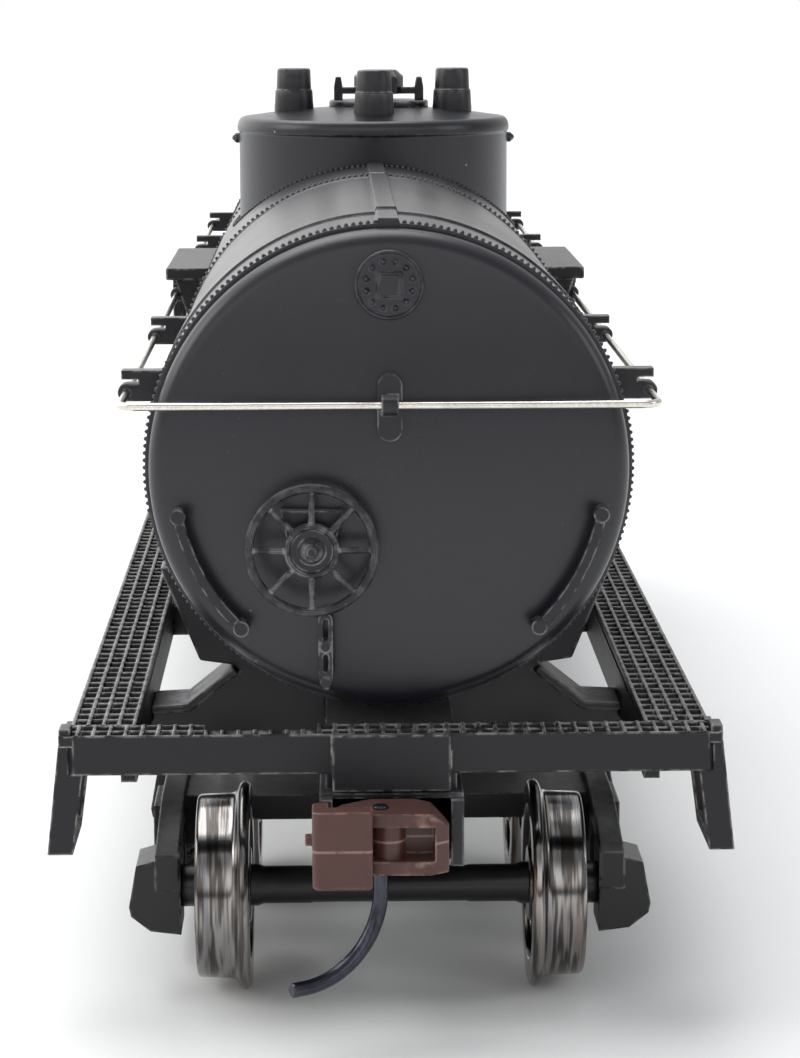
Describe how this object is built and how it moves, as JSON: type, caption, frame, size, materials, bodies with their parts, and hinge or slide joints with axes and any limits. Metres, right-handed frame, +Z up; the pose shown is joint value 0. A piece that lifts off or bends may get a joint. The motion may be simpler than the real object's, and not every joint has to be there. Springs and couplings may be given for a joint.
{
  "type": "model tank wagon",
  "caption": "HO scale riveted tank wagon with centre dome, grated running boards, hand brake wheel, swivelling bogies and knuckle couplers.",
  "frame": {"origin": "midway along and across the wagon, at the lowest point of the wheel flanges", "axes": "+Z up, +Y along the wagon away from the brake end, +X to the right as seen from the brake end"},
  "size_m": [0.0344, 0.1342, 0.0465],
  "materials": {
    "tank_plastic": "satin black, faint grain",
    "body_plastic": "matte black",
    "board_plastic": "matte black with scuffed edges",
    "bogie_plastic": "satin black",
    "coupler_plastic": "reddish brown, satin",
    "handrail_wire": "bright nickel",
    "wheel_metal": "blackened nickel",
    "axle_plastic": "black",
    "blued_steel": "blued",
    "screw_steel": "blackened",
    "spring_bronze": "bright",
    "weight_steel": "plain"
  },
  "bodies": {
    "wagon": {"air_reservoir": "body_plastic", "ballast_weight": "weight_steel", "bogie_screws": "screw_steel", "bolster_front": "body_plastic", "bolster_rear": "body_plastic", "bottom_outlet": "body_plastic", "brake_bracket": "body_plastic", "brake_chain": "body_plastic", "brake_cylinder": "body_plastic", "brake_rigging": "body_plastic", "centre_sill": "body_plastic", "corner_steps": "board_plastic", "coupler_box_front": "body_plastic", "coupler_box_rear": "body_plastic", "coupler_lid_front": "body_plastic", "coupler_lid_rear": "body_plastic", "coupler_screws": "screw_steel", "dome": "tank_plastic", "dome_valves": "body_plastic", "end_sill_front": "board_plastic", "end_sill_rear": "board_plastic", "end_stanchions": "body_plastic", "grab_irons": "body_plastic", "handrail_brackets": "body_plastic", "handrail_front": "handrail_wire", "handrail_rear": "handrail_wire", "inspection_plates": "body_plastic", "ladder_left": "board_plastic", "ladder_right": "board_plastic", "manway_cover": "body_plastic", "manway_yoke": "body_plastic", "platform_left": "board_plastic", "platform_right": "board_plastic", "running_board_left": "board_plastic", "running_board_right": "board_plastic", "tank_head_front": "tank_plastic", "tank_head_rear": "tank_plastic", "tank_shell": "tank_plastic"},
    "bogie_front": {"bogie_frame_front": "bogie_plastic"},
    "coupler_front": {"coupler_head_front": "coupler_plastic", "trip_pin_front": "blued_steel", "coupler_spring_front": "spring_bronze"},
    "knuckle_front": {"knuckle_front": "coupler_plastic"},
    "bogie_rear": {"bogie_frame_rear": "bogie_plastic"},
    "coupler_rear": {"coupler_head_rear": "coupler_plastic", "trip_pin_rear": "blued_steel", "coupler_spring_rear": "spring_bronze"},
    "knuckle_rear": {"knuckle_rear": "coupler_plastic"},
    "wheelset_1": {"axle_1": "axle_plastic", "wheels_1": "wheel_metal"},
    "wheelset_2": {"axle_2": "axle_plastic", "wheels_2": "wheel_metal"},
    "wheelset_3": {"axle_3": "axle_plastic", "wheels_3": "wheel_metal"},
    "wheelset_4": {"axle_4": "axle_plastic", "wheels_4": "wheel_metal"},
    "brake_wheel": {"brake_wheel": "body_plastic"}
  },
  "joints": [
    {"name": "bogie_front_swivel", "type": "hinge", "parent": "wagon", "child": "bogie_front", "pos_m": [0, -0.0454, 0.0085], "axis": [0, 0, 1], "range_deg": [-10, 10]},
    {"name": "coupler_front_swing", "type": "hinge", "parent": "wagon", "child": "coupler_front", "pos_m": [0, -0.0574, 0.0106], "axis": [0, 0, 1], "range_deg": [-12, 12], "stiffness_Nm_per_rad": 0.0005},
    {"name": "knuckle_front_open", "type": "hinge", "parent": "coupler_front", "child": "knuckle_front", "pos_m": [-0.0023, -0.06455, 0.0106], "axis": [0, 0, 1], "range_deg": [-30, 0], "stiffness_Nm_per_rad": 0.0003, "springref_deg": 5.73},
    {"name": "bogie_rear_swivel", "type": "hinge", "parent": "wagon", "child": "bogie_rear", "pos_m": [0, 0.0454, 0.0085], "axis": [0, 0, 1], "range_deg": [-10, 10]},
    {"name": "coupler_rear_swing", "type": "hinge", "parent": "wagon", "child": "coupler_rear", "pos_m": [0, 0.0574, 0.0106], "axis": [0, 0, 1], "range_deg": [-12, 12], "stiffness_Nm_per_rad": 0.0005},
    {"name": "knuckle_rear_open", "type": "hinge", "parent": "coupler_rear", "child": "knuckle_rear", "pos_m": [0.0023, 0.06455, 0.0106], "axis": [0, 0, 1], "range_deg": [-30, 0], "stiffness_Nm_per_rad": 0.0003, "springref_deg": 5.73},
    {"name": "wheelset_1_roll", "type": "hinge", "parent": "bogie_front", "child": "wheelset_1", "pos_m": [0, -0.055, 0.00544], "axis": [1, 0, 0], "continuous": true},
    {"name": "wheelset_2_roll", "type": "hinge", "parent": "bogie_front", "child": "wheelset_2", "pos_m": [0, -0.0358, 0.00544], "axis": [1, 0, 0], "continuous": true},
    {"name": "wheelset_3_roll", "type": "hinge", "parent": "bogie_rear", "child": "wheelset_3", "pos_m": [0, 0.0358, 0.00544], "axis": [1, 0, 0], "continuous": true},
    {"name": "wheelset_4_roll", "type": "hinge", "parent": "bogie_rear", "child": "wheelset_4", "pos_m": [0, 0.055, 0.00544], "axis": [1, 0, 0], "continuous": true},
    {"name": "brake_wheel_turn", "type": "hinge", "parent": "wagon", "child": "brake_wheel", "pos_m": [-0.0039, -0.06155, 0.0245], "axis": [0, 1, 0], "continuous": true}
  ]
}
